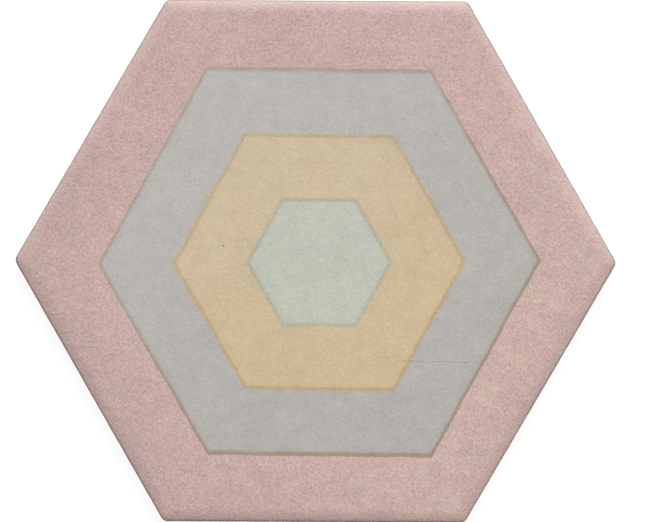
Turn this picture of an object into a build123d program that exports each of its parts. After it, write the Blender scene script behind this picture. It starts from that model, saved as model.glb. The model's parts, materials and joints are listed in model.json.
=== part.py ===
"""Hexagonal wall tile, dry-pressed from clay powder, glazed and fired as one piece.

The tile lies on its back with its face up. The origin is the centre of the back, +X points at a
corner of the hexagon, +Y at the middle of a side, and +Z out of the face. Lengths are millimetres.
"""

import math
import os

from build123d import *

# Driving dimensions: the plate
across_flats = 200.0  # over two opposite sides of the finished outline
thickness = 8.5  # from the ribs of the back to the flat of the face
corner_radius = 3.0  # upright corners of the outline

# Driving dimensions: the cushioned edge, a long arc that falls away and a short arc that turns down
cushion_radius = 13.6
cushion_angle = 18.0  # slope in degrees where the long arc meets the short one
nose_radius = 1.5
face_corner_radius = 0.8  # corners of the flat face inside the cushioned edge
edge_steps = 16  # steps between the cross-sections that carry the two arcs

# Driving dimensions: the drafted foot, where the die lets go of the lower wall
foot_height = 3.2
foot_inset = 0.6

# Driving dimensions: the keyed back, a honeycomb of shallow cells between raised ribs
rim_width = 9.0  # plain border between the back's edge and the outermost cells
rib_width = 2.4
cell_rings = 6  # rings of cells round the middle one
cell_depth = 0.8
cell_draft = 30.0  # slope in degrees of the cell walls

HEX_SIDES = 6
HALF_SIDE = math.tan(math.radians(30))  # half a side over the distance from centre to side
ROW_RISE = math.cos(math.radians(30))  # distance between rows over the pitch of a honeycomb


def cushioned_edge():
    """Inset from the outline and drop below the face, evenly spaced from the flat down to the wall."""
    turn = math.radians(cushion_angle)
    long_length = cushion_radius * turn
    short_length = nose_radius * (math.pi / 2 - turn)
    long_width = cushion_radius * math.sin(turn)
    long_drop = cushion_radius * (1 - math.cos(turn))
    nose_width = nose_radius * (1 - math.sin(turn))
    points = []
    for i in range(edge_steps + 1):
        along = (long_length + short_length) * i / edge_steps
        if along < long_length:
            slope = along / cushion_radius
            inset = nose_width + long_width - cushion_radius * math.sin(slope)
            drop = cushion_radius * (1 - math.cos(slope))
        else:
            slope = turn + (along - long_length) / nose_radius
            inset = nose_radius * (1 - math.sin(slope))
            drop = long_drop + nose_radius * (math.cos(turn) - math.cos(slope))
        points.append((inset, drop))
    return points


def honeycomb(rings, pitch):
    """Centres of a middle cell and the given number of rings round it."""
    centres = []
    for column in range(-rings, rings + 1):
        for row in range(-rings, rings + 1):
            if abs(column + row) <= rings:
                centres.append(((column + row / 2) * pitch, row * pitch * ROW_RISE))
    return centres


# Sizes that follow from the driving dimensions
apothem = across_flats / 2
edge = cushioned_edge()
edge_width, _ = edge[0]
_, edge_drop = edge[-1]
wall_top = thickness - edge_drop
keyed_reach = apothem - foot_inset - rim_width  # centre to the outer points of the last row of cells
cell_pitch = (keyed_reach + rib_width * HALF_SIDE) / (cell_rings * ROW_RISE + HALF_SIDE)
cell_apothem = (cell_pitch - rib_width) / 2

# One recess of the back: it narrows towards its floor, as a pressed recess does
with BuildPart() as cell:
    with BuildSketch():
        RegularPolygon(radius=cell_apothem, side_count=HEX_SIDES, major_radius=False, rotation=30)
    extrude(amount=cell_depth, taper=cell_draft)

with BuildPart() as tile:
    # The upright wall, with its corners rounded
    with BuildSketch() as outline:
        RegularPolygon(radius=apothem, side_count=HEX_SIDES, major_radius=False)
        fillet(outline.vertices(), corner_radius)
    extrude(amount=wall_top)

    # The foot of the wall leans in towards the back
    back = tile.faces().sort_by(Axis.Z)[0]
    chamfer(back.edges(), length=foot_inset, length2=foot_height, reference=back)

    # The cushioned edge and the face, as cross-sections from the wall up to the flat
    for inset, drop in reversed(edge):
        flatness = inset / edge_width
        radius = corner_radius + (face_corner_radius - corner_radius) * flatness
        with BuildSketch(Plane.XY.offset(thickness - drop)) as section:
            RegularPolygon(radius=apothem - inset, side_count=HEX_SIDES, major_radius=False)
            fillet(section.vertices(), radius)
    loft()

    # The keyed back
    with Locations(*honeycomb(cell_rings, cell_pitch)):
        add(cell.part, mode=Mode.SUBTRACT)

tile.part.label = "tile"

print(f"cushioned edge {edge_width:.2f} mm wide, {edge_drop:.2f} mm deep")
print(f"upright wall from {foot_height:.2f} to {wall_top:.2f} mm above the back")
print(f"cells {2 * cell_apothem:.2f} mm across at a pitch of {cell_pitch:.2f} mm")
print(f"volume {tile.part.volume / 1000:.1f} cm3")

os.makedirs("parts", exist_ok=True)
export_step(tile.part, "parts/tile.step")
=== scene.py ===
# %% [markdown]
# # A printed hexagonal wall tile
# The real tile is one slab of pressed and fired clay, glazed and printed on its face. This lesson
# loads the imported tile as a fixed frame, models a finer skin of the same size over it with bmesh
# operators, and paints glaze and bare clay with procedural nodes. Everything is in metres.

# %% Load the tile
import json
import math

import bmesh
import bpy
from mathutils import Matrix, Vector, noise

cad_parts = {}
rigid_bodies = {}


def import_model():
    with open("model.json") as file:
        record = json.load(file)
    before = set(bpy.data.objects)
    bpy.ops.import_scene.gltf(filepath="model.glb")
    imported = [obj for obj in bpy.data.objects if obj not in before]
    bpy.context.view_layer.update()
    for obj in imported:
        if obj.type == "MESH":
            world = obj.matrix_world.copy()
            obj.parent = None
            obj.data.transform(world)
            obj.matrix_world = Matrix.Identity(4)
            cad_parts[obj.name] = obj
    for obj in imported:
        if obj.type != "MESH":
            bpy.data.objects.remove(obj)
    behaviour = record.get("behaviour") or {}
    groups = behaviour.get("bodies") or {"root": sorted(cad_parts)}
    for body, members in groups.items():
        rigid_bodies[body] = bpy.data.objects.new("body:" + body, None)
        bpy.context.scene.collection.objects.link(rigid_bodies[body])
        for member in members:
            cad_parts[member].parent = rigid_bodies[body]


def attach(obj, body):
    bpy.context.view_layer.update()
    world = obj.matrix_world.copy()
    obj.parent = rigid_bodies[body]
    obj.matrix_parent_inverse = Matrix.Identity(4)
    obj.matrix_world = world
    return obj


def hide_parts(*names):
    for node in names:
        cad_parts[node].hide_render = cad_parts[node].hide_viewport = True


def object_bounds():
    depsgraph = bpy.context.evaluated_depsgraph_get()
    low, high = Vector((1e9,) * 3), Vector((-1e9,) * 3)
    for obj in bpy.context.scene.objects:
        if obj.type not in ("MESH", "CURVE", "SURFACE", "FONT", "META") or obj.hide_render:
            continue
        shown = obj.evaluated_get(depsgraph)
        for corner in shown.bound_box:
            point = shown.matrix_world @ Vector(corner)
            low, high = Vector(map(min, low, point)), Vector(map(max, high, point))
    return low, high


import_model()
cad_low, cad_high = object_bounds()
scene = bpy.context.scene
MM = 0.001
apothem = cad_high.y  # centre to the middle of a side
thickness = cad_high.z
print(f"tile {2 * apothem / MM:.1f} mm across the flats, {thickness / MM:.1f} mm thick")

# %% [markdown]
# ## The camera
# The picture was taken square on, so the camera hangs straight above the face. A long lens keeps the
# walls of the tile out of sight, as they are in the picture. The tile lies a little left of the
# middle of the frame and is turned by a third of a degree, so the camera is moved aside and turned.

# %% Hang the camera
photo_width, photo_height = 659, 522
photo_flats = 521.3  # pixels across the flats
photo_centre = (315.5, 261.5)  # middle of the tile, in pixels from the top left
photo_turn = math.radians(0.33)
pixel = 2 * apothem / photo_flats
outline_height = 0.7 * thickness  # near the top of the wall, where the tile is widest
lens, sensor = 200, 36  # millimetres, as camera makers give them

camera_data = bpy.data.cameras.new("camera")
camera_data.lens = lens
camera_data.sensor_width = sensor
camera = bpy.data.objects.new("camera", camera_data)
scene.collection.objects.link(camera)
scene.camera = camera
camera.location = (
    (photo_width / 2 - photo_centre[0]) * pixel,
    (photo_centre[1] - photo_height / 2) * pixel,
    outline_height + photo_width * pixel * lens / sensor,
)
camera.rotation_euler.z = photo_turn
print(f"one pixel is {pixel / MM:.3f} mm, camera {camera.location.z:.3f} m up")

# %% [markdown]
# ## The lamps
# The upper edge of the tile is bright and the lower edges are dark, so one large soft lamp stands far
# beyond the upper side, and a dim sky will fill the rest. A second lamp shines up through the floor,
# for looks at the back of the tile. It reaches no surface that the first camera sees.

# %% Set up the lamps
scene.view_settings.view_transform = "Standard"
sky_strength = 0.22
lamp_width = 0.6  # over its distance


def add_lamp(name, turn, rise, distance, share):
    """A soft round lamp, turned clockwise from +Y, that gives a level face this share of full light."""
    away = math.cos(math.radians(rise))
    towards = Vector((
        away * math.sin(math.radians(turn)),
        away * math.cos(math.radians(turn)),
        math.sin(math.radians(rise)),
    ))
    data = bpy.data.lights.new(name, "AREA")
    data.shape = "DISK"
    data.size = lamp_width * distance
    data.energy = share * math.pi**2 * distance**2 / abs(towards.z)
    lamp = bpy.data.objects.new(name, data)
    scene.collection.objects.link(lamp)
    lamp.location = towards * distance
    lamp.rotation_euler = towards.to_track_quat("Z", "Y").to_euler()
    print(f"{name}: {data.energy:.0f} W from {distance} m")


add_lamp("window", turn=3, rise=40, distance=6.0, share=1 - sky_strength)
add_lamp("under_lamp", turn=150, rise=-50, distance=3.0, share=0.7)

# %% [markdown]
# ## The sky
# An even sky lights what the lamp doesn't reach. Lamp and sky together give a level face as much
# light as makes its colour render about as it is written. The camera, and any reflection, sees the
# sky as a white backdrop instead. A small class keeps the node code of this lesson short.

# %% Light the sky
WHITE = (1, 1, 1, 1)


class Nodes:
    """The emptied node tree of a world or a material, with short ways to add to it."""

    def __init__(self, owner):
        owner.use_nodes = True
        self.tree = owner.node_tree
        self.tree.nodes.clear()

    def plug(self, socket, value):
        """Links a socket to another one, or sets it to a value."""
        if isinstance(value, bpy.types.NodeSocket):
            self.tree.links.new(value, socket)
        elif value is not None:
            socket.default_value = value

    def add(self, kind, *inputs, **settings):
        """A new node with its settings made and its first inputs plugged in."""
        node = self.tree.nodes.new("ShaderNode" + kind)
        for name, value in settings.items():
            setattr(node, name, value)
        for socket, value in zip(node.inputs, inputs):
            self.plug(socket, value)
        return node

    def calc(self, operation, *inputs):
        """The result of a sum with numbers."""
        return self.add("Math", *inputs, operation=operation).outputs[0]


world = bpy.data.worlds.new("studio")
scene.world = world
sky = Nodes(world)
path = sky.add("LightPath").outputs
looked_at = sky.calc("MAXIMUM", path["Is Camera Ray"], path["Is Glossy Ray"])
looked_at = sky.calc("MAXIMUM", looked_at, path["Is Transmission Ray"])
fill = sky.add("Background", WHITE, sky_strength).outputs[0]
backdrop = sky.add("Background", WHITE, 1.0).outputs[0]
sky.add("OutputWorld", sky.add("MixShader", looked_at, fill, backdrop).outputs[0])
print(f"sky {sky_strength}, lamp {1 - sky_strength:.2f}")

# %% [markdown]
# ## The floor
# A white sheet under the tile that runs out of sight. To the camera it is white with the soft shadow
# of the tile on it, and to the tile it is a sheet that throws light back at the walls. From below it
# is clear.

# %% Lay the floor
floor_drop = 0.05 * MM  # just under the tile, so that the two surfaces never share a plane
floor_size = 6
floor_glow = 0.92  # the camera sees this much white even in shadow
floor_lit = 0.12  # the white that a shadow takes away
floor_bounce = 0.8

floor_mesh = bmesh.new()
bmesh.ops.create_grid(floor_mesh, x_segments=1, y_segments=1, size=floor_size,
                      matrix=Matrix.Translation((0, 0, -floor_drop)))
floor_data = bpy.data.meshes.new("floor")
floor_mesh.to_mesh(floor_data)
floor_mesh.free()
floor = bpy.data.objects.new("floor", floor_data)
scene.collection.objects.link(floor)

paper = bpy.data.materials.new("white_sheet")
sheet = Nodes(paper)
path = sheet.add("LightPath").outputs
glow = sheet.add("Emission", WHITE, floor_glow).outputs[0]
shadowed = sheet.add("BsdfDiffuse", (floor_lit, floor_lit, floor_lit, 1)).outputs[0]
shown = sheet.add("AddShader", glow, shadowed).outputs[0]
bounce = sheet.add("BsdfDiffuse", (floor_bounce, floor_bounce, floor_bounce, 1)).outputs[0]
upper_side = sheet.add("MixShader", path["Is Camera Ray"], bounce, shown).outputs[0]
clear = sheet.add("BsdfTransparent").outputs[0]
from_below = sheet.add("NewGeometry").outputs["Backfacing"]
let_through = sheet.calc("MAXIMUM", path["Is Shadow Ray"], from_below)
sheet.add("OutputMaterial", sheet.add("MixShader", let_through, upper_side, clear).outputs[0])
floor_data.materials.append(paper)
print(f"floor {2 * floor_size} m wide")

# %% [markdown]
# ## The flat of the face
# The face is a hexagon. It could be one polygon with a bump map, but then a low light would find it
# dead flat. A circle of six segments filled with a fan of triangles becomes a regular triangular net
# when all its edges are cut into equal parts, and such a net can carry real, shallow waves.

# %% Net the face
SECTOR = math.radians(60)
cushion_radius = 13.6 * MM  # the long arc that falls away towards the edge
cushion_angle = math.radians(18)  # slope where the long arc meets the short one
nose_radius = 1.5 * MM  # the short arc that turns down to the wall
nose_width = nose_radius * (1 - math.sin(cushion_angle))
edge_width = nose_width + cushion_radius * math.sin(cushion_angle)
face_steps = 144

tile = bmesh.new()
face_turn = Matrix.Rotation(SECTOR / 2, 4, "Z")
bmesh.ops.create_circle(tile, cap_ends=True, cap_tris=True, segments=6,
                        radius=(apothem - edge_width) / math.cos(SECTOR / 2),
                        matrix=Matrix.Translation((0, 0, thickness)) @ face_turn)
bmesh.ops.subdivide_edges(tile, edges=tile.edges[:], cuts=face_steps - 1, use_grid_fill=True)
print(f"face: {len(tile.faces)} triangles, {len(tile.verts)} points")

# %% [markdown]
# ## The cushioned edge
# The die rounds the edge of the face: a long flat arc first, then a tight one. The rim of the net is
# extruded again and again, and each new ring is moved out and down along the two arcs. The corners
# grow rounder on the way, so a ring is placed by asking where a rounded hexagon lies in the direction
# of each of its points.

# %% Roll the edge down
corner_radius = 3.0 * MM  # upright corners of the wall
face_corner_radius = 0.8 * MM  # corners of the flat
cushion_steps, nose_steps = 6, 6


def outline_point(angle, inset):
    """The point in this direction on the rounded hexagon that lies this far inside the outline."""
    flatness = inset / edge_width
    radius = corner_radius + (face_corner_radius - corner_radius) * min(flatness, 1)
    side = apothem - inset
    corner = round(angle / SECTOR) * SECTOR
    apart = abs(angle - corner)
    reach = side / math.cos(SECTOR / 2 - apart)
    if side * math.tan(SECTOR / 2 - apart) > (side - radius) * math.tan(SECTOR / 2):
        middle = (side - radius) / math.cos(SECTOR / 2)
        reach = middle * math.cos(apart) + math.sqrt(radius**2 - (middle * math.sin(apart))**2)
    return reach * math.cos(angle), reach * math.sin(angle)


def place(points, inset, height):
    """Moves points straight out or in to the rounded hexagon of this inset, at this height."""
    for point in points:
        x, y = outline_point(math.atan2(point.co.y, point.co.x), inset)
        point.co = (x, y, height)


def grow(ring, inset, height):
    """Extrudes a ring of edges to this inset and height, and returns the new ring."""
    made = bmesh.ops.extrude_edge_only(tile, edges=ring)["geom"]
    place([item for item in made if isinstance(item, bmesh.types.BMVert)], inset, height)
    return [item for item in made if isinstance(item, bmesh.types.BMEdge) and item.is_boundary]


ring = [edge for edge in tile.edges if edge.is_boundary]
place({point for edge in ring for point in edge.verts}, edge_width, thickness)
for step in range(1, cushion_steps + 1):
    slope = cushion_angle * step / cushion_steps
    fall = cushion_radius * (1 - math.cos(slope))
    ring = grow(ring, edge_width - cushion_radius * math.sin(slope), thickness - fall)
for step in range(1, nose_steps + 1):
    slope = cushion_angle + (math.pi / 2 - cushion_angle) * step / nose_steps
    fall = cushion_radius * (1 - math.cos(cushion_angle))
    fall += nose_radius * (math.cos(cushion_angle) - math.cos(slope))
    ring = grow(ring, nose_radius * (1 - math.sin(slope)), thickness - fall)
wall_top = thickness - fall
print(f"edge {edge_width / MM:.2f} mm wide, wall starts {wall_top / MM:.2f} mm up")

# %% [markdown]
# ## The wall and the foot
# Below the edge the wall is upright, and its lower part leans in so that the tile lets go of the die.
# The bottom edge is worn a little round. The same ring goes on growing down these few steps.

# %% Draw the wall down
foot_height, foot_inset = 3.2 * MM, 0.6 * MM
foot_round = 0.3 * MM
round_inset, round_height = 0.2 * foot_round, 0.3 * foot_round  # a place halfway round the bottom edge
wall_steps = 3

for step in range(1, wall_steps + 1):
    ring = grow(ring, 0, wall_top + (foot_height - wall_top) * step / wall_steps)
lean = foot_inset / foot_height
ring = grow(ring, lean * (foot_height - foot_round), foot_round)
ring = grow(ring, foot_inset + round_inset, round_height)
ring = grow(ring, foot_inset + foot_round, 0)
print(f"wall and foot: {len(tile.faces)} faces so far")

# %% [markdown]
# ## The keyed back
# The back has a honeycomb of shallow cells that adhesive grips. Hexagons are laid side by side and
# welded to one sheet. A fill closes the plain rim between sheet and wall. Insetting each hexagon by
# half a rib leaves the ribs, insetting again with a depth sinks the floors with sloping walls, and
# small bevels take the sharpness off the pressed edges. These faces get the second material, clay.

# %% Press the honeycomb
rim_width, rib_width = 9.0 * MM, 2.4 * MM
cell_rings = 6
cell_depth, cell_draft = 0.8 * MM, math.radians(30)
cell_round = 0.2 * MM
keyed_reach = apothem - foot_inset - rim_width
row_rise, half_side = math.cos(SECTOR / 2), math.tan(SECTOR / 2)
pitch = (keyed_reach + rib_width * half_side) / (cell_rings * row_rise + half_side)
weld_distance = 0.01 * MM
FRONT, BACK = 0, 1  # material slots

front = set(tile.faces)
cells = []
for column in range(-cell_rings, cell_rings + 1):
    for row in range(-cell_rings, cell_rings + 1):
        if abs(column + row) <= cell_rings:
            centre = ((column + row / 2) * pitch, row * pitch * row_rise, 0)
            made = bmesh.ops.create_circle(tile, cap_ends=True, segments=6, radius=pitch * half_side,
                                           matrix=Matrix.Translation(centre))
            cells.append(made["verts"][0].link_faces[0])
bmesh.ops.remove_doubles(tile, verts=[v for cell in cells for v in cell.verts], dist=weld_distance)
border = [edge for edge in tile.edges if edge.is_boundary]
bmesh.ops.triangle_fill(tile, edges=border, use_beauty=True, normal=(0, 0, -1))
bmesh.ops.recalc_face_normals(tile, faces=tile.faces[:])

bmesh.ops.inset_individual(tile, faces=cells, thickness=rib_width / 2, use_even_offset=True)
mouths = [edge for cell in cells for edge in cell.edges]
bmesh.ops.inset_individual(tile, faces=cells, thickness=cell_depth * math.tan(cell_draft),
                           depth=-cell_depth, use_even_offset=True)
floors = [edge for cell in cells for edge in cell.edges]
bmesh.ops.bevel(tile, geom=mouths + floors, affect="EDGES", offset=cell_round, segments=2,
                profile=0.5, material=-1)
for face in tile.faces:
    face.material_index = FRONT if face in front else BACK
loose = sum(not edge.is_manifold for edge in tile.edges)
print(f"back: {len(cells)} cells at {pitch / MM:.2f} mm, {loose} open edges")

# %% [markdown]
# ## The waves of the glaze
# A glaze is a thin melt that freezes before it is quite level, so the face has low waves that make it
# look a little leathery. The points of the face are lifted and lowered by hundredths of a millimetre
# with fractal noise, which is the same in every run. The outer ring of the print lies on a rougher
# stretch, so its waves are higher. The edge is not quite straight either: its points are moved in and
# out in the same way.

# %% Ripple the glaze
wave_length, wave_height = 4 * MM, 0.03 * MM
edge_wave_length, edge_wave = 5 * MM, 0.07 * MM
octaves = (1.0, 2.0, 3)  # how they weaken, how they shrink, and their number
rough_from, rough_full, rough_gain = 72 * MM, 75 * MM, 1.0  # distances from the centre, and the gain


def hexagon_distance(point):
    """How far out a point lies, measured square to the nearest side."""
    directions = [math.radians(angle) for angle in (-30, 30, 90)]
    return max(abs(point.x * math.cos(a) + point.y * math.sin(a)) for a in directions)


for point in tile.verts:
    distance = hexagon_distance(point.co)
    if point.co.z > wall_top:
        rough = (distance - rough_from) / (rough_full - rough_from)
        gain = 1 + rough_gain * min(max(rough, 0), 1)
        fade = (point.co.z - wall_top) / (thickness - wall_top)
        point.co.z += wave_height * gain * fade * noise.fractal(point.co / wave_length, *octaves)
    outward = point.co.xy.to_3d()
    fade = max(0, 1 - (apothem - distance) / edge_width)
    push = edge_wave * fade * noise.fractal(outward / edge_wave_length, *octaves)
    point.co += outward * push / max(outward.length, apothem)
print(f"highest point {max(point.co.z for point in tile.verts) / MM:.3f} mm")

# %% [markdown]
# ## A map for the finish
# The finish can be stored as a picture that is wrapped round the mesh, and for that each face needs a
# place on a square map. The printed face is laid down as it is seen from above, and gets most of the
# room. The six walls are laid out below it as strips, and the back is a smaller hexagon beside them.

# %% Lay out the map
face_scale, back_scale = 3.9, 0.98  # map widths per metre
face_middle, back_middle = (0.5, 0.605), (0.12, 0.107)
strip_left, strip_bottom, strip_pitch = 0.26, 0.006, 0.0335
strip_slope = math.radians(45)  # steeper faces go to the strips

uv = tile.loops.layers.uv.new("OFBake")
for face in tile.faces:
    middle = face.calc_center_median()
    side = math.floor(math.atan2(middle.y, middle.x) / SECTOR)  # from -3 to 2
    turn = (side + 0.5) * SECTOR
    along = Vector((-math.sin(turn), math.cos(turn), 0))
    for loop in face.loops:
        point = loop.vert.co
        if face.material_index == BACK:
            spot = (back_middle[0] - point.x * back_scale, back_middle[1] + point.y * back_scale)
        elif face.normal.z > math.cos(strip_slope):
            spot = (face_middle[0] + point.x * face_scale, face_middle[1] + point.y * face_scale)
        else:
            spot = (strip_left + (apothem * half_side + point.dot(along)) * face_scale,
                    strip_bottom + strip_pitch * (side + 3) + point.z * face_scale)
        loop[uv].uv = spot
spots = [loop[uv].uv for face in tile.faces for loop in face.loops]
print(f"map used from {min(min(s) for s in spots):.3f} to {max(max(s) for s in spots):.3f}")

# %% [markdown]
# ## One finished piece
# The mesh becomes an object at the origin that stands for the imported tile. Faces are shaded smooth,
# and edges sharper than a set angle stay crisp.

# %% Make the piece
crisp_angle = math.radians(40)

tile_data = bpy.data.meshes.new("tile_body")
tile.to_mesh(tile_data)
tile.free()
tile_data.shade_smooth()
tile_data.set_sharp_from_angle(angle=crisp_angle)
tile_piece = bpy.data.objects.new("tile_body", tile_data)
scene.collection.objects.link(tile_piece)
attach(tile_piece, "root")
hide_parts("tile")
triangles = sum(len(face.vertices) - 2 for face in tile_data.polygons)
print(f"tile_body: {triangles} triangles")

# %% [markdown]
# ## Tools for a finish
# Glaze and clay are both patterns of noise on the tile, so a second class adds to the first one what
# such patterns need: noise of a given size, points that are nudged by it, smooth steps, and mixes of
# numbers and colours. All of it lies on the tile's own coordinates, so nothing slides when it moves.

# %% Gather the tools
class Finish(Nodes):
    """The node tree of a material whose patterns lie on the tile's own coordinates."""

    def __init__(self, name):
        self.material = bpy.data.materials.new(name)
        super().__init__(self.material)
        self.on_tile = self.add("TexCoord").outputs["Object"]

    def vector(self, operation, *inputs):
        """The results of a sum with vectors."""
        return self.add("VectorMath", *inputs, operation=operation).outputs

    def towards(self, direction, point=None):
        """How far the point on the tile, or another one, lies in a direction."""
        point = self.on_tile if point is None else point
        return self.vector("DOT_PRODUCT", point, direction)["Value"]

    def texture(self, size, detail=2.0, roughness=0.5, point=None):
        """Noise with features of about this size, at the point on the tile or at another one."""
        point = self.on_tile if point is None else point
        return self.add("TexNoise", point, None, 1 / size, detail, roughness).outputs

    def speckle(self, size, **shape):
        """Noise about zero, between -0.5 and 0.5, with features of about this size."""
        return self.calc("SUBTRACT", self.texture(size, **shape)["Fac"], 0.5)

    def nudge(self, point, size, reach):
        """A point moved to and fro by up to about this reach, by noise of this feature size."""
        shake = self.vector("SUBTRACT", self.texture(size)["Color"], (0.5, 0.5, 0.5))[0]
        return self.vector("MULTIPLY_ADD", shake, (2 * reach,) * 3, point)[0]

    def step(self, value, start, end, low=0.0, high=1.0):
        """A smooth step from low to high while the value goes from start to end."""
        node = self.add("MapRange", value, start, end, low, high, interpolation_type="SMOOTHSTEP")
        return node.outputs[0]

    def between(self, share, first, second):
        """A number between two others."""
        return self.add("Mix", share, None, first, second).outputs[0]

    def blend(self, share, first, second):
        """A colour between two others. The Mix node has its colours at inputs 6 and 7, and output 2."""
        node = self.add("Mix", share, data_type="RGBA")
        self.plug(node.inputs[6], first)
        self.plug(node.inputs[7], second)
        return node.outputs[2]

    def scale(self, colour, factor):
        """A colour made lighter or darker."""
        node = self.add("VectorMath", colour, operation="SCALE")
        self.plug(node.inputs["Scale"], factor)
        return node.outputs[0]


glaze = Finish("printed_glaze")
print(f"{glaze.material.name} begun")

# %% [markdown]
# ## The hexagons of the print
# The pattern is a nest of hexagons. Measured from the print's centre towards a side, every point has
# one distance, the largest of three projections, and the lines of equal distance are hexagons. The
# print sits a little right of the tile's middle, its sides are each a little out of true, and its
# lines waver, so the point is nudged by noise before it is measured.

# %% Measure the hexagons
print_centre = (1.46 * MM, -0.3 * MM, 0)
side_turns = {90: -0.47, 30: 0.18, -30: 1.43}  # degrees: direction of a pair of sides, and its turn
corner_softness = 0.8 * MM
waver_steps = [(16 * MM, 0.4 * MM), (2.5 * MM, 0.3 * MM)]  # feature size and reach

wavering = glaze.on_tile
for size, reach in waver_steps:
    wavering = glaze.nudge(wavering, size, reach)
from_centre = glaze.vector("SUBTRACT", wavering, print_centre)[0]
projections = []
for direction, turn in side_turns.items():
    angle = math.radians(direction + turn)
    normal = (math.cos(angle), math.sin(angle), 0)
    projections.append(glaze.calc("ABSOLUTE", glaze.towards(normal, from_centre)))


def largest(first, second, third):
    """The largest of three distances, with the corners of the hexagon a little rounded."""
    larger = glaze.calc("SMOOTH_MAX", first, second, corner_softness)
    return glaze.calc("SMOOTH_MAX", larger, third, corner_softness)


hexagon = largest(*projections)
print(f"print centred at {print_centre[0] / MM:.2f}, {print_centre[1] / MM:.2f} mm")

# %% [markdown]
# ## The inks
# Each ring is one ink, printed a little way over the ring inside it, and the overlap shows as a darker
# line. The melting glaze draws the inks into each other, so the line has a faint bleed before it and
# the next ink comes up softly through it. The line fades and comes back, because no print is even, and
# the innermost is stronger at the top. The other two are stronger at the lower right, away from the
# lamp, which is partly uneven print and partly painted shade. At the top and the bottom the last ink
# starts late, which makes the outermost line wider there. The yellow ink is paler at the top left,
# with a cloudy border between its two tints.

# %% Print the rings
def ink(red, green, blue):
    """A colour as a picture stores it, turned into the linear light that nodes work with."""
    values = [v / 255 for v in (red, green, blue)]
    return [v / 12.92 if v <= 0.04045 else ((v + 0.055) / 1.055) ** 2.4 for v in values] + [1]


pale_side, tint_border = (-0.35, 0.94, 0), 45 * MM
tint_cloud, tint_sway = 14 * MM, 90 * MM
tint = glaze.calc("MULTIPLY_ADD", glaze.speckle(tint_cloud), tint_sway, glaze.towards(pale_side))
paler = glaze.step(tint, -tint_border, tint_border)
ochre = glaze.blend(paler, ink(206, 184, 147), ink(206, 187, 157))
green, grey, pink = ink(193, 195, 181), ink(182, 179, 174), ink(199, 169, 165)
# the line's drift at the two outer lines is partly painted shade, stronger away from the lamp
borders = [  # next ink, its line, where in millimetres line and ink come up, and the line's drift
    (ochre, ink(150, 162, 146), (22.6, 24.2), (22.8, 25.5), (0, 8, 0)),
    (grey, ink(184, 157, 106), (47.2, 48.5), (47.8, 49.9), (1.9, -2.9, 0)),
    (pink, ink(160, 139, 121), (71.75, 73.65), (73.75, 74.05), (1.9, -2.9, 0)),
]  # the drift is a gain in strength per metre along x and y
bleed_width, bleed_strength = 1.7 * MM, 0.06
late_start = 0.4 * MM
patch_size, patch_least = 10 * MM, 0.7

patchy = glaze.step(glaze.speckle(patch_size, detail=3.0, roughness=0.6), -0.2, 0.2, patch_least, 1.0)
late_hexagon = largest(glaze.calc("SUBTRACT", projections[0], late_start), *projections[1:])
inked = green
for next_ink, line_ink, line_rise, ink_rise, line_drift_and_shade in borders:
    start, full = line_rise[0] * MM, line_rise[1] * MM
    bleed = glaze.step(hexagon, start - bleed_width, start, 0, bleed_strength)
    in_line = glaze.calc("MAXIMUM", glaze.step(hexagon, start, full), bleed)
    # partly painted shade: the two outer lines darken away from the lamp
    strength = glaze.calc("ADD", patchy, glaze.towards(line_drift_and_shade))
    inked = glaze.blend(glaze.calc("MULTIPLY", in_line, strength), inked, line_ink)
    ink_hexagon = late_hexagon if next_ink is pink else hexagon
    in_ink = glaze.step(ink_hexagon, ink_rise[0] * MM, ink_rise[1] * MM)
    inked = glaze.blend(in_ink, inked, next_ink)
in_pink = in_ink
print(f"{len(borders) + 1} inks printed")

# %% [markdown]
# ## The life of the colour
# No fired colour is even. An ink drifts in strength across its ring, settles in clouds, and breaks up
# into a fine grain that follows the pebbled skin of the glaze. The grain of the pink ring is stronger
# and stands on end in short streaks, which noise gives when it is squeezed in one direction. All
# changes in lightness are added up to one shade.

# %% Shade the inks
drifts = [  # ring from and to in millimetres, and its gain in lightness per metre along x and y
    (24.5, 49, (-0.2, -0.4, 0)),
    (49, 73.4, (-0.34, 0.36, 0)),
    (73.4, 120, (0.27, -0.4, 0)),
]
drift_blur = 0.5  # millimetres to each side of a ring's border
grain_size, fine_share = 0.98 * MM, 0.53  # share of the pink's grain that the other inks have
streak_length, streak_squeeze = 0.9 * MM, (1.6, 1, 1)
mottle_size, cloud_size = 7 * MM, 35 * MM
pebble_gain, mottle_gain, cloud_gain = 0.75, 0.2, 0.13

fine = glaze.calc("MULTIPLY", glaze.speckle(grain_size, roughness=0.6), fine_share)
squeezed = glaze.vector("MULTIPLY", glaze.on_tile, streak_squeeze)[0]
streaks = glaze.speckle(streak_length, detail=1.0, roughness=0.4, point=squeezed)
pebbles = glaze.between(in_pink, fine, streaks)
mottle = glaze.speckle(mottle_size, detail=3.0, roughness=0.6)
cloud = glaze.speckle(cloud_size, detail=3.0)
shade = 1.0
for part, gain in ((pebbles, pebble_gain), (mottle, mottle_gain), (cloud, cloud_gain)):
    shade = glaze.calc("MULTIPLY_ADD", part, gain, shade)
for start, end, drift in drifts:
    begun = glaze.step(hexagon, (start - drift_blur) * MM, (start + drift_blur) * MM)
    open_end = glaze.step(hexagon, (end - drift_blur) * MM, (end + drift_blur) * MM, 1.0, 0.0)
    in_ring = glaze.calc("MULTIPLY", begun, open_end)
    shade = glaze.calc("MULTIPLY_ADD", in_ring, glaze.towards(drift), shade)
print(f"shaded by {len(drifts)} drifts, grain, mottle and clouds")
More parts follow.
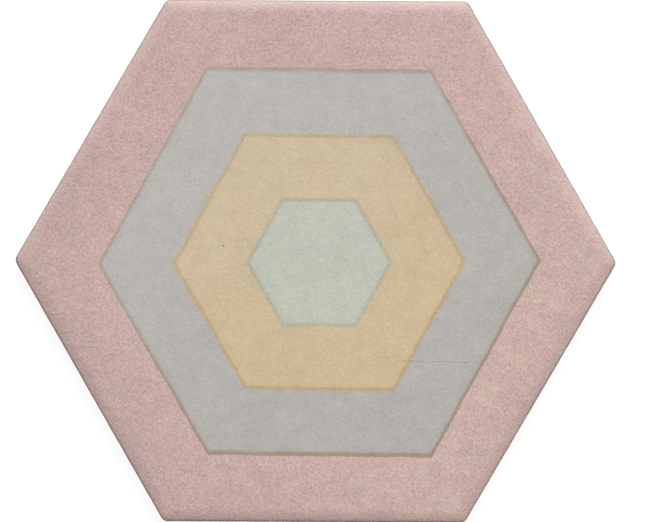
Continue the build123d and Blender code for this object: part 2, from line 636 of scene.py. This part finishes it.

# %% [markdown]
# ## The pink ring
# The outermost ink is the least even. Away from the light its outer part is darker than next to the
# line, which is painted shade: a slope of lightness, added to the shade, that stands in for a face
# tilting away from the lamp near the edge. It also turns beige in patches, most of all at the lower
# right, so a beige ink is blended in where a coarse noise is high.

# %% Paint shade on the pink and tint it
# the loss of lightness per metre outwards is painted shade on the side away from the lamp
pink_middle, pink_shade_gain = 83 * MM, 3.6  # loss of lightness per metre outwards
light_side, slope_shade_full, slope_shade_end = (0.25, 0.97, 0), -20 * MM, 60 * MM
beige, beige_patch = ink(206, 184, 165), 9 * MM
beige_side, beige_start, beige_full = (0.95, -0.3, 0), -25 * MM, 75 * MM
beige_least, beige_most = 0.08, 0.57

# painted shade: away from the lamp the pink is darker towards the edge than next to the line
painted_slope_shade = glaze.step(glaze.towards(light_side), slope_shade_full, slope_shade_end, pink_shade_gain, 0.0)
painted_slope_shade = glaze.calc("MULTIPLY", in_pink, painted_slope_shade)
shade = glaze.calc("MULTIPLY_ADD", painted_slope_shade, glaze.calc("SUBTRACT", pink_middle, hexagon), shade)
patches = glaze.step(glaze.speckle(beige_patch, detail=3.0, roughness=0.6), -0.08, 0.2)
beige_share = glaze.step(glaze.towards(beige_side), beige_start, beige_full, beige_least, beige_most)
patches = glaze.calc("MULTIPLY", patches, beige_share)
inked = glaze.blend(glaze.calc("MULTIPLY", patches, in_pink), inked, beige)
print(f"pink turned beige by {beige_least} to {beige_most}")

# %% [markdown]
# ## Marks
# The photographed tile has a dark speck of iron in its yellow ring, a few fainter specks, and a
# hairline scratch with a fainter one beside it, mostly in the grey. A speck is the distance to a point
# and a scratch the distance to a line, both nudged by noise so that they are not drawn with a ruler.

# %% Mark the face
specks = [  # x, y and radius in millimetres, and strength: above zero dark, below zero pale
    (-35.3, 5.9, 0.4, 0.4),
    (-35.3, 5.6, 0.4, 0.3),
    (62.3, -1.4, 0.45, 0.1),
    (32.4, 34.3, 0.45, 0.1),
    (-0.9, -66.6, 0.45, -0.12),
    (6.3, 32.0, 0.45, -0.1),
]
speck_core, speck_edge = 0.5, 1.3  # over the radius
scratches = [  # y, and x from and to, in millimetres, and strength
    (-38.15, 30.0, 65.0, 0.16),
    (-39.3, 42.0, 57.0, 0.06),
]
scratch_slope, scratch_width, scratch_fade = -0.012, 0.5 * MM, 4 * MM
skip_length, skip_least = 3 * MM, 0.5

shaken = glaze.nudge(glaze.on_tile, size=0.8 * MM, reach=0.2 * MM)
marks = 0.0
for x, y, radius, strength in specks:
    away = glaze.vector("DISTANCE", shaken, (x * MM, y * MM, thickness))["Value"]
    spot = glaze.step(away, speck_core * radius * MM, speck_edge * radius * MM, strength, 0.0)
    marks = glaze.calc("ADD", spot, marks)

across = glaze.add("SeparateXYZ", glaze.on_tile).outputs["X"]
bent = glaze.nudge(glaze.on_tile, size=8 * MM, reach=0.15 * MM)
slanted = glaze.towards((-scratch_slope, 1, 0), bent)
skips = glaze.step(glaze.speckle(skip_length), -0.2, 0.1, skip_least, 1.0)
scratched = 0.0
for y, start, end, strength in scratches:
    away = glaze.calc("SUBTRACT", slanted, (y - scratch_slope * start) * MM)
    groove = glaze.step(glaze.calc("ABSOLUTE", away), 0.0, scratch_width, strength, 0.0)
    begun = glaze.step(across, start * MM, start * MM + scratch_fade)
    open_end = glaze.step(across, end * MM - scratch_fade, end * MM, 1.0, 0.0)
    groove = glaze.calc("MULTIPLY", groove, glaze.calc("MULTIPLY", begun, open_end))
    scratched = glaze.calc("MULTIPLY_ADD", groove, skips, scratched)
marks = glaze.calc("ADD", marks, scratched)
inked = glaze.scale(inked, glaze.calc("SUBTRACT", shade, marks))
print(f"{len(specks)} specks, {len(scratches)} scratches")

# %% [markdown]
# ## Bare clay
# The back and the foot are clay that no glaze has touched: pale buff, dull, with the grain of the
# pressed powder and a few dark specks. The powder packs tighter in some places, which are darker and
# less dull. Two materials need the clay, so it is made by a function that adds it to a finish and
# hands back its colour, its roughness and its height.

# %% Mix the clay
clay_colour, clay_dark, iron = ink(214, 199, 178), ink(196, 178, 155), ink(134, 104, 80)
clay_roughness, packed_gloss = 0.95, 0.15
packing_size, powder_size, iron_size = 12 * MM, 0.5 * MM, 0.9 * MM
powder_gain, powder_height, iron_strength = 0.25, 0.1 * MM, 0.7


def mix_clay(finish):
    """Adds bare clay to a finish, and returns its colour, roughness and height in metres."""
    packed = finish.step(finish.speckle(packing_size, detail=4.0, roughness=0.6), -0.25, 0.25)
    colour = finish.blend(packed, clay_colour, clay_dark)
    grains = finish.speckle(powder_size, roughness=0.6)
    colour = finish.scale(colour, finish.calc("MULTIPLY_ADD", grains, powder_gain, 1.0))
    dots = finish.step(finish.speckle(iron_size, detail=1.0), 0.23, 0.29, 0.0, iron_strength)
    colour = finish.blend(dots, colour, iron)
    dull = finish.calc("MULTIPLY_ADD", packed, -packed_gloss, clay_roughness)
    powder = finish.calc("MULTIPLY", grains, powder_height)
    return colour, dull, powder


print(f"clay roughness {clay_roughness - packed_gloss:.2f} to {clay_roughness:.2f}")

# %% [markdown]
# ## The edge of the glaze
# The ink thins out where the face falls away, and ends on the nose of the edge. There a fine dark rim
# is painted round the tile, as patchy as the lines of the print: painted shade where the edge turns
# down out of the light. Below it the pale base glaze runs a little way down the wall to a ragged hem
# with a few drips, and the rest of the wall is bare. One share decides for each point how much of it
# is glaze, and mixes colour, roughness and height between the two.

# %% Hem the glaze
# the dark rim colour is painted shade on the nose of the edge
base_glaze, rim_shade = ink(226, 213, 203), ink(92, 79, 73)
thin_start, thin_full, thin_share = thickness - 0.1 * MM, thickness - 0.6 * MM, 0.06
rim_shade_full, rim_shade_end, rim_shade_strength = wall_top + 0.6 * MM, wall_top + 1.3 * MM, 0.8
ink_end, ink_full = wall_top - 0.3 * MM, wall_top + 0.2 * MM
rag_size, rag_reach = 1.5 * MM, 0.4 * MM
drip_size, drip_reach = 7 * MM, 2.6 * MM
hem_height, hem_blur = wall_top - 0.9 * MM, 0.12 * MM

height = glaze.add("SeparateXYZ", glaze.on_tile).outputs["Z"]
inked = glaze.blend(glaze.step(height, thin_start, thin_full, 0.0, thin_share), inked, base_glaze)
uneven = glaze.calc("MULTIPLY_ADD", glaze.speckle(rag_size), rag_reach, height)
# painted shade: a dark band where the nose of the edge turns down
on_rim_shade = glaze.step(uneven, rim_shade_full, rim_shade_end, rim_shade_strength, 0.0)
inked = glaze.blend(glaze.calc("MULTIPLY", on_rim_shade, patchy), inked, rim_shade)
inked = glaze.blend(glaze.step(uneven, ink_end, ink_full), base_glaze, inked)
dripping = glaze.calc("MULTIPLY_ADD", glaze.speckle(drip_size, detail=3.0), drip_reach, height)
glazed = glaze.step(dripping, hem_height - hem_blur, hem_height + hem_blur)
clay, clay_dull, powder = mix_clay(glaze)
face_colour = glaze.blend(glazed, clay, inked)
print(f"hem of the glaze {hem_height / MM:.1f} mm up the wall")

# %% [markdown]
# ## The surface of the glaze
# The glaze is satin: it spreads a reflection wide without being dull. Its pebbled skin is too fine
# for the net, so it is a bump, with the grooves of the scratches in it and the step down to the clay
# at the hem.

# %% Finish the glaze
glaze_roughness, mottle_dull, pebble_dull = 0.58, 0.15, 0.1
pebble_height, groove_depth, glaze_thickness = 0.16 * MM, 0.2 * MM, 0.2 * MM

relief = glaze.calc("MULTIPLY", pebbles, pebble_height)
relief = glaze.calc("MULTIPLY_ADD", scratched, -groove_depth, relief)
relief = glaze.between(glazed, powder, relief)
relief = glaze.calc("MULTIPLY_ADD", glazed, glaze_thickness, relief)
dullness = glaze.calc("MULTIPLY_ADD", mottle, mottle_dull, glaze_roughness)
dullness = glaze.calc("MULTIPLY_ADD", pebbles, pebble_dull, dullness)
dullness = glaze.between(glazed, clay_dull, dullness)


def cover(finish, colour, roughness, relief_height):
    """Ends a finish in a surface of this colour and roughness, with this height as its bump."""
    bump = finish.add("Bump", 1.0, 1.0)
    finish.plug(bump.inputs["Height"], relief_height)
    surface = finish.add("BsdfPrincipled", colour, None, roughness)
    finish.plug(surface.inputs["Normal"], bump.outputs[0])
    finish.add("OutputMaterial", surface.outputs[0])
    tile_data.materials.append(finish.material)
    print(f"{finish.material.name}: {len(finish.tree.nodes)} nodes")


cover(glaze, face_colour, dullness, relief)

# %% [markdown]
# ## The back
# Tiles are fired on rollers dusted with a white wash so that they don't stick. It stays on the raised
# ribs and the rim, worn off in patches, and leaves the floors of the cells clean.

# %% Finish the back
wash = ink(236, 231, 222)
wash_full, wash_end = 0.02 * MM, 0.25 * MM  # depth into a cell
wear_size, wash_least, wash_most = 14 * MM, 0.25, 0.75

back = Finish("bare_clay")
clay, clay_dull, powder = mix_clay(back)
depth = back.add("SeparateXYZ", back.on_tile).outputs["Z"]
raised = back.step(depth, wash_full, wash_end, 1.0, 0.0)
worn = back.speckle(wear_size, detail=5.0, roughness=0.65)
washed = back.calc("MULTIPLY", raised, back.step(worn, -0.2, 0.15, wash_least, wash_most))
cover(back, back.blend(washed, clay, wash), clay_dull, powder)
